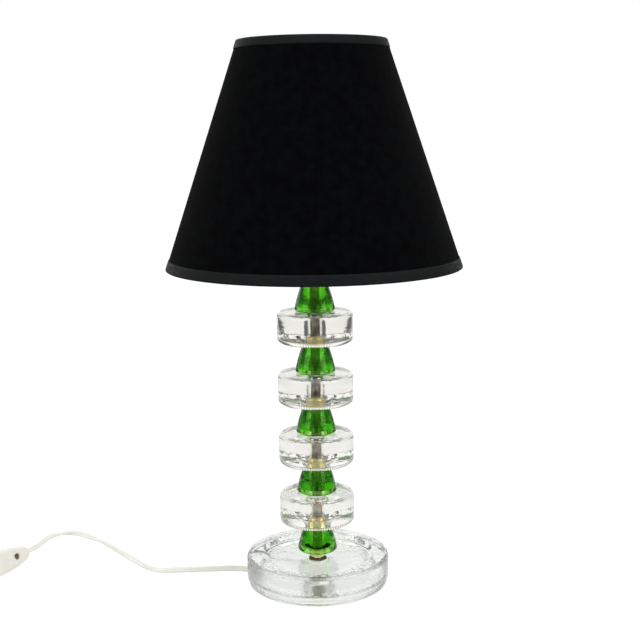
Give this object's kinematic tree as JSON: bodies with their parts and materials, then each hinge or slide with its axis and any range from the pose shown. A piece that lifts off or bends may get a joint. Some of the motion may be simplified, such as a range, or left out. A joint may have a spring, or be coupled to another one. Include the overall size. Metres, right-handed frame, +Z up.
{
  "type": "table lamp",
  "caption": "Table lamp with a glass dish foot, a column of green glass cones and clear glass discs, a black cloth shade and a white cord with an inline rocker switch.",
  "frame": {"origin": "middle of the foot's underside, on the surface that the lamp stands on", "axes": "+Z up along the glass column, -Y towards the viewer of the picture, the cord leaves towards -X"},
  "size_m": [0.562, 0.2808, 0.523],
  "materials": {
    "clear_glass": "clear, fire polished",
    "green_glass": "clear green, polished",
    "brass": "satin",
    "zinc_steel": "zinc plated, satin",
    "white_wire": "satin",
    "rubber": "matte, pale grey-green",
    "holder_plastic": "semi gloss",
    "core_ceramic": "matte",
    "bulb_glass": "frosted",
    "bulb_cap": "bright",
    "shade_cloth": "matte, fine weave",
    "shade_satin": "satin ribbon",
    "cord_white": "satin",
    "core_insulation": "satin",
    "switch_plastic": "semi gloss",
    "plug_plastic": "semi gloss",
    "tie_plastic": "matte",
    "clamp_plastic": "matte",
    "nickel": "nickel plated, bright"
  },
  "bodies": {
    "lamp": {"brass_collar_1": "brass", "brass_collar_2": "brass", "brass_collar_3": "brass", "brass_collar_4": "brass", "bulb_cap": "bulb_cap", "bulb_glass": "bulb_glass", "bulb_tip": "brass", "centre_tongue": "brass", "clear_disc_1": "clear_glass", "clear_disc_2": "clear_glass", "clear_disc_3": "clear_glass", "clear_disc_4": "clear_glass", "coil_ties": "tie_plastic", "cord_clamps": "clamp_plastic", "cord_coil": "cord_white", "cord_to_coil": "cord_white", "cord_to_plug": "cord_white", "cord_to_switch": "cord_white", "core_wires": "core_insulation", "foot_collar": "brass", "foot_nut": "brass", "glass_foot": "clear_glass", "green_cone_1": "green_glass", "green_cone_2": "green_glass", "green_cone_3": "green_glass", "green_cone_4": "green_glass", "green_cone_5": "green_glass", "holder_cap": "holder_plastic", "holder_core": "core_ceramic", "holder_skirt": "holder_plastic", "inner_lead": "cord_white", "lock_nut": "zinc_steel", "plug_body": "plug_plastic", "plug_boot": "cord_white", "plug_prongs": "nickel", "prong_sleeves": "clamp_plastic", "rocker_pin": "zinc_steel", "rubber_washer": "rubber", "screw_sleeve": "brass", "shade_nut": "holder_plastic", "steel_washer": "zinc_steel", "switch_back": "switch_plastic", "switch_contacts": "brass", "switch_front": "switch_plastic", "switch_screws": "zinc_steel", "terminal_screws": "brass", "threaded_rod": "zinc_steel", "top_nut": "zinc_steel", "top_washer": "zinc_steel"},
    "shade": {"shade_panel": "shade_cloth", "top_trim": "shade_satin", "bottom_trim": "shade_satin", "top_wire": "white_wire", "bottom_wire": "white_wire", "shade_fitter": "white_wire"},
    "switch_rocker": {"rocker": "switch_plastic", "rocker_plunger": "switch_plastic"},
    "switch_bridge": {"contact_bridge": "brass"}
  },
  "joints": [
    {"name": "shade_turn", "type": "hinge", "parent": "lamp", "child": "shade", "pos_m": [0, 0, 0.3418], "axis": [0, 0, 1], "continuous": true},
    {"name": "rocker_tilt", "type": "hinge", "parent": "lamp", "child": "switch_rocker", "pos_m": [-0.32584, 0.01762, 0.01156], "axis": [0.29, -0.1812, -0.9397], "range_deg": [0, 14]},
    {"name": "bridge_tilt", "type": "hinge", "parent": "lamp", "child": "switch_bridge", "pos_m": [-0.32098, 0.01458, 0.01365], "axis": [0.29, -0.1812, -0.9397], "range_deg": [-11.2, 0]}
  ],
  "couplings": [
    {"joint": "bridge_tilt", "follows": "rocker_tilt", "ratio": -0.8}
  ]
}
